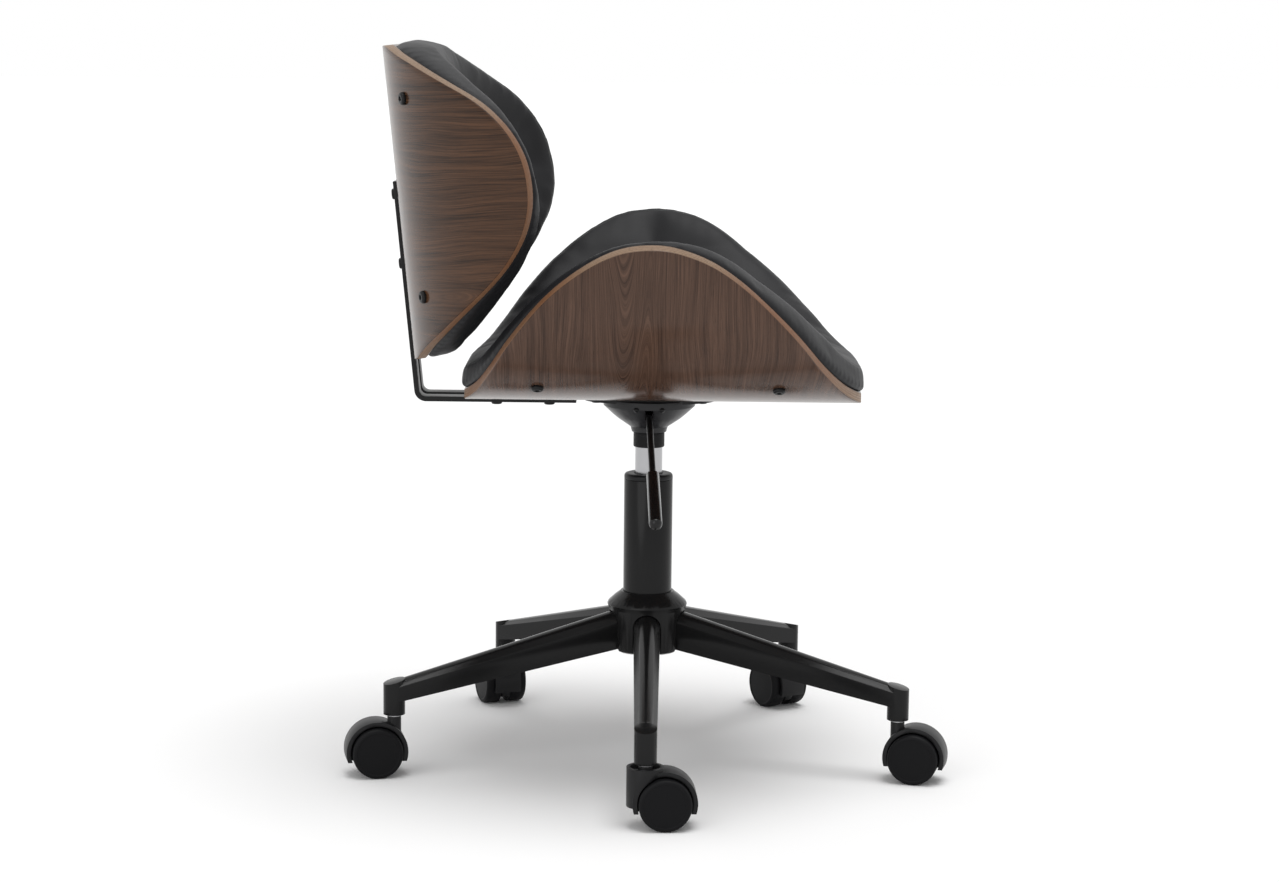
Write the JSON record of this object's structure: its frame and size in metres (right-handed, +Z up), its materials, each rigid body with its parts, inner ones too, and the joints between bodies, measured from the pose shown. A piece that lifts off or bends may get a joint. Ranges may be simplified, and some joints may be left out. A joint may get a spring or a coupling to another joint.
{
  "type": "office chair",
  "caption": "Bentwood task chair with padded curved seat and back shells joined by steel straps, on a swivelling gas lift with a release lever and a star base on casters.",
  "frame": {"origin": "on the floor, on the axis of the gas lift", "axes": "+Z up, -Y towards the front of the chair, +X towards the sitter's left"},
  "size_m": [0.5597, 0.6133, 0.7398],
  "materials": {
    "walnut_shell": "walnut veneer on bent plywood, satin lacquer, light edge plies",
    "plain_ply": "bare bent plywood",
    "black_leather": "black coated upholstery leather, soft sheen",
    "black_steel": "black powder coat, satin",
    "gloss_steel": "black paint, smooth",
    "chrome_rod": "chromed steel",
    "zinc_steel": "zinc-plated steel",
    "black_plastic": "black nylon, moulded",
    "grey_plastic": "dark grey nylon, moulded"
  },
  "bodies": {
    "base": {"base_hub": "gloss_steel", "leg_1": "gloss_steel", "leg_2": "gloss_steel", "leg_3": "gloss_steel", "leg_4": "gloss_steel", "leg_5": "gloss_steel", "caster_stems": "zinc_steel", "column_tube": "gloss_steel", "column_cap_ring": "black_plastic", "column_guide_bush": "grey_plastic", "thrust_bearing": "zinc_steel"},
    "swivel": {"piston_rod": "chrome_rod", "rod_clip": "zinc_steel"},
    "seat": {"pressure_tube": "chrome_rod", "mounting_bowl": "black_steel", "seat_plate": "black_steel", "tube_collar": "grey_plastic", "lever_bracket": "black_steel", "lever_pivot_pin": "zinc_steel", "plate_bolts": "black_steel", "strap_left": "black_steel", "strap_right": "black_steel", "seat_shell": "walnut_shell", "seat_pad_board": "plain_ply", "seat_pad": "black_leather", "seat_strap_bolts": "black_steel", "seat_nuts": "zinc_steel", "seat_side_screws": "black_steel", "seat_inserts": "zinc_steel", "back_shell": "walnut_shell", "back_pad_board": "plain_ply", "back_pad": "black_leather", "back_strap_bolts": "black_steel", "back_nuts": "zinc_steel", "back_side_screws": "black_steel", "back_inserts": "zinc_steel"},
    "lever": {"lever_rod": "black_steel", "lever_grip": "black_plastic"},
    "release": {"release_pin": "chrome_rod"},
    "caster_1": {"caster_1_body": "black_plastic", "caster_1_axle": "zinc_steel"},
    "caster_1_wheel_a": {"caster_1_wheel_a": "black_plastic"},
    "caster_1_wheel_b": {"caster_1_wheel_b": "black_plastic"},
    "caster_2": {"caster_2_body": "black_plastic", "caster_2_axle": "zinc_steel"},
    "caster_2_wheel_a": {"caster_2_wheel_a": "black_plastic"},
    "caster_2_wheel_b": {"caster_2_wheel_b": "black_plastic"},
    "caster_3": {"caster_3_body": "black_plastic", "caster_3_axle": "zinc_steel"},
    "caster_3_wheel_a": {"caster_3_wheel_a": "black_plastic"},
    "caster_3_wheel_b": {"caster_3_wheel_b": "black_plastic"},
    "caster_4": {"caster_4_body": "black_plastic", "caster_4_axle": "zinc_steel"},
    "caster_4_wheel_a": {"caster_4_wheel_a": "black_plastic"},
    "caster_4_wheel_b": {"caster_4_wheel_b": "black_plastic"},
    "caster_5": {"caster_5_body": "black_plastic", "caster_5_axle": "zinc_steel"},
    "caster_5_wheel_a": {"caster_5_wheel_a": "black_plastic"},
    "caster_5_wheel_b": {"caster_5_wheel_b": "black_plastic"}
  },
  "joints": [
    {"name": "seat_swivel", "type": "hinge", "parent": "base", "child": "swivel", "pos_m": [0, 0, 0.105], "axis": [0, 0, 1], "continuous": true},
    {"name": "seat_lift", "type": "slide", "parent": "swivel", "child": "seat", "axis": [0, 0, 1], "range_m": [0, 0.085]},
    {"name": "lever_lift", "type": "hinge", "parent": "seat", "child": "lever", "pos_m": [-0.022, 0, 0.362], "axis": [0, 1, 0], "range_deg": [0, 6], "stiffness_Nm_per_rad": 0.6, "springref_deg": -5.73},
    {"name": "pin_press", "type": "slide", "parent": "seat", "child": "release", "axis": [0, 0, -1], "range_m": [0, 0.0027]},
    {"name": "caster_1_swivel", "type": "hinge", "parent": "base", "child": "caster_1", "pos_m": [-0.268, 0, 0.055], "axis": [0, 0, 1], "continuous": true},
    {"name": "caster_1_wheel_a_roll", "type": "hinge", "parent": "caster_1", "child": "caster_1_wheel_a", "pos_m": [-0.25285, -0.01783, 0.0255], "axis": [0.9986, 0.0523, 0], "continuous": true},
    {"name": "caster_1_wheel_b_roll", "type": "hinge", "parent": "caster_1", "child": "caster_1_wheel_b", "pos_m": [-0.28121, -0.01932, 0.0255], "axis": [0.9986, 0.0523, 0], "continuous": true},
    {"name": "caster_2_swivel", "type": "hinge", "parent": "base", "child": "caster_2", "pos_m": [-0.08282, 0.25488, 0.055], "axis": [0, 0, 1], "continuous": true},
    {"name": "caster_2_wheel_a_roll", "type": "hinge", "parent": "caster_2", "child": "caster_2_wheel_a", "pos_m": [-0.10057, 0.27012, 0.0255], "axis": [-0.9781, -0.2079, 0], "continuous": true},
    {"name": "caster_2_wheel_b_roll", "type": "hinge", "parent": "caster_2", "child": "caster_2_wheel_b", "pos_m": [-0.07279, 0.27603, 0.0255], "axis": [-0.9781, -0.2079, 0], "continuous": true},
    {"name": "caster_3_swivel", "type": "hinge", "parent": "base", "child": "caster_3", "pos_m": [0.21682, 0.15753, 0.055], "axis": [0, 0, 1], "continuous": true},
    {"name": "caster_3_wheel_a_roll", "type": "hinge", "parent": "caster_3", "child": "caster_3_wheel_a", "pos_m": [0.22909, 0.17745, 0.0255], "axis": [-0.3584, 0.9336, 0], "continuous": true},
    {"name": "caster_3_wheel_b_roll", "type": "hinge", "parent": "caster_3", "child": "caster_3_wheel_b", "pos_m": [0.23927, 0.15094, 0.0255], "axis": [-0.3584, 0.9336, 0], "continuous": true},
    {"name": "caster_4_swivel", "type": "hinge", "parent": "base", "child": "caster_4", "pos_m": [0.21682, -0.15753, 0.055], "axis": [0, 0, 1], "continuous": true},
    {"name": "caster_4_wheel_a_roll", "type": "hinge", "parent": "caster_4", "child": "caster_4_wheel_a", "pos_m": [0.22506, -0.13563, 0.0255], "axis": [-0.5299, 0.848, 0], "continuous": true},
    {"name": "caster_4_wheel_b_roll", "type": "hinge", "parent": "caster_4", "child": "caster_4_wheel_b", "pos_m": [0.24011, -0.15971, 0.0255], "axis": [-0.5299, 0.848, 0], "continuous": true},
    {"name": "caster_5_swivel", "type": "hinge", "parent": "base", "child": "caster_5", "pos_m": [-0.08282, -0.25488, 0.055], "axis": [0, 0, 1], "continuous": true},
    {"name": "caster_5_wheel_a_roll", "type": "hinge", "parent": "caster_5", "child": "caster_5_wheel_a", "pos_m": [-0.07354, -0.27637, 0.0255], "axis": [0.9703, -0.2419, 0], "continuous": true},
    {"name": "caster_5_wheel_b_roll", "type": "hinge", "parent": "caster_5", "child": "caster_5_wheel_b", "pos_m": [-0.1011, -0.26949, 0.0255], "axis": [0.9703, -0.2419, 0], "continuous": true}
  ],
  "couplings": [
    {"joint": "pin_press", "follows": "lever_lift", "m_per_rad": 0.025}
  ]
}
